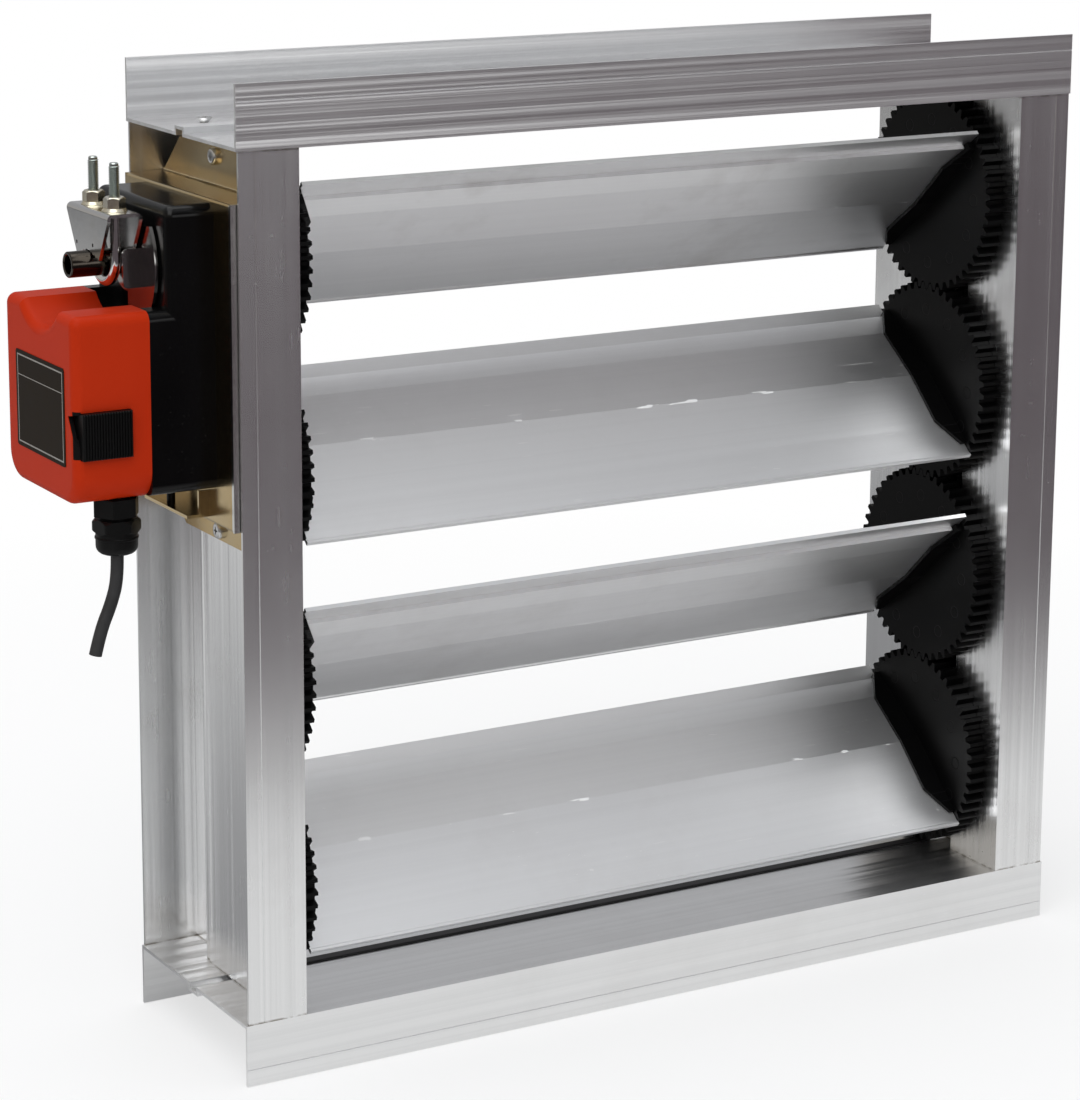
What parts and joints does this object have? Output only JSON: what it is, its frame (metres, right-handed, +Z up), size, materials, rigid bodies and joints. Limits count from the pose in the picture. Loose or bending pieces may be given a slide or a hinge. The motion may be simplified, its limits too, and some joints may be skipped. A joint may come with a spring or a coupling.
{
  "type": "motorized duct damper",
  "caption": "Square aluminium duct damper with opposed aerofoil blades geared together at both ends and turned by an electric actuator on the left side.",
  "frame": {"origin": "at the damper's foot, in the middle of its overall width (actuator included) and of its depth", "axes": "+X along the blades away from the actuator, +Y through the duct from the pictured front to the back, +Z up"},
  "size_m": [0.5372, 0.121, 0.47],
  "materials": {
    "extruded_aluminium": "mill-finish extrusion with fine lengthwise lines and a few scuffs",
    "zinc_plated_steel": "bright zinc plate",
    "shaft_steel": "drawn steel",
    "gear_plastic": "moulded glass-filled plastic, satin",
    "housing_black": "moulded plastic, fine matt texture",
    "housing_orange": "moulded plastic, fine matt texture",
    "label_grey": "bare printed film",
    "seal_rubber": "black rubber",
    "board_green": "varnished board"
  },
  "bodies": {
    "frame": {"top_rail": "extruded_aluminium", "bottom_rail": "extruded_aluminium", "left_stile": "extruded_aluminium", "right_stile": "extruded_aluminium", "actuator_bracket": "zinc_plated_steel", "anti_rotation_strap": "zinc_plated_steel", "bracket_screws": "zinc_plated_steel", "frame_screws": "zinc_plated_steel", "gear_plate": "zinc_plated_steel", "motor": "shaft_steel", "button_spring": "shaft_steel", "bearings_left": "gear_plastic", "bearings_right": "gear_plastic", "actuator_base": "housing_black", "gland_body": "housing_black", "gland_nut": "housing_black", "actuator_cover": "housing_orange", "label_plate": "label_grey", "top_seal": "seal_rubber", "bottom_seal": "seal_rubber", "cable": "seal_rubber", "control_board": "board_green"},
    "drive": {"gear_left_1": "gear_plastic", "gear_right_1": "gear_plastic", "blade_1": "extruded_aluminium", "drive_shaft": "shaft_steel", "drive_hub": "housing_black", "stop_disc": "shaft_steel", "clamp_bracket": "zinc_plated_steel", "clamp_u_bolt": "zinc_plated_steel", "clamp_nuts": "zinc_plated_steel"},
    "second_blade": {"gear_left_2": "gear_plastic", "gear_right_2": "gear_plastic", "blade_2": "extruded_aluminium"},
    "third_blade": {"gear_left_3": "gear_plastic", "gear_right_3": "gear_plastic", "blade_3": "extruded_aluminium"},
    "fourth_blade": {"gear_left_4": "gear_plastic", "gear_right_4": "gear_plastic", "blade_4": "extruded_aluminium"},
    "idler": {"idler_gear": "housing_black"},
    "pinion": {"motor_pinion": "housing_black"},
    "button": {"release_button": "housing_black"}
  },
  "joints": [
    {"name": "drive_turn", "type": "hinge", "parent": "frame", "child": "drive", "pos_m": [0.03565, 0, 0.385], "axis": [-1, 0, 0], "range_deg": [-39.5, 50.5]},
    {"name": "second_turn", "type": "hinge", "parent": "frame", "child": "second_blade", "pos_m": [0.03565, 0, 0.285], "axis": [-1, 0, 0], "range_deg": [-50.5, 39.5]},
    {"name": "third_turn", "type": "hinge", "parent": "frame", "child": "third_blade", "pos_m": [0.03565, 0, 0.185], "axis": [-1, 0, 0], "range_deg": [-39.5, 50.5]},
    {"name": "fourth_turn", "type": "hinge", "parent": "frame", "child": "fourth_blade", "pos_m": [0.03565, 0, 0.085], "axis": [-1, 0, 0], "range_deg": [-50.5, 39.5]},
    {"name": "idler_turn", "type": "hinge", "parent": "frame", "child": "idler", "pos_m": [-0.20835, 0, 0.351], "axis": [-1, 0, 0], "range_deg": [-140.5, 110]},
    {"name": "pinion_turn", "type": "hinge", "parent": "frame", "child": "pinion", "pos_m": [-0.21335, 0, 0.3258], "axis": [-1, 0, 0], "range_deg": [-351.5, 449]},
    {"name": "button_press", "type": "slide", "parent": "frame", "child": "button", "axis": [0, 1, 0], "range_m": [0, 0.0025], "stiffness_N_per_m": 250, "springref_m": -0.002, "deforming": ["button_spring"]}
  ],
  "couplings": [
    {"joint": "second_turn", "follows": "drive_turn", "ratio": -1},
    {"joint": "third_turn", "follows": "drive_turn", "ratio": 1},
    {"joint": "fourth_turn", "follows": "drive_turn", "ratio": -1},
    {"joint": "idler_turn", "follows": "drive_turn", "ratio": -2.7778},
    {"joint": "pinion_turn", "follows": "drive_turn", "ratio": 8.8889}
  ]
}
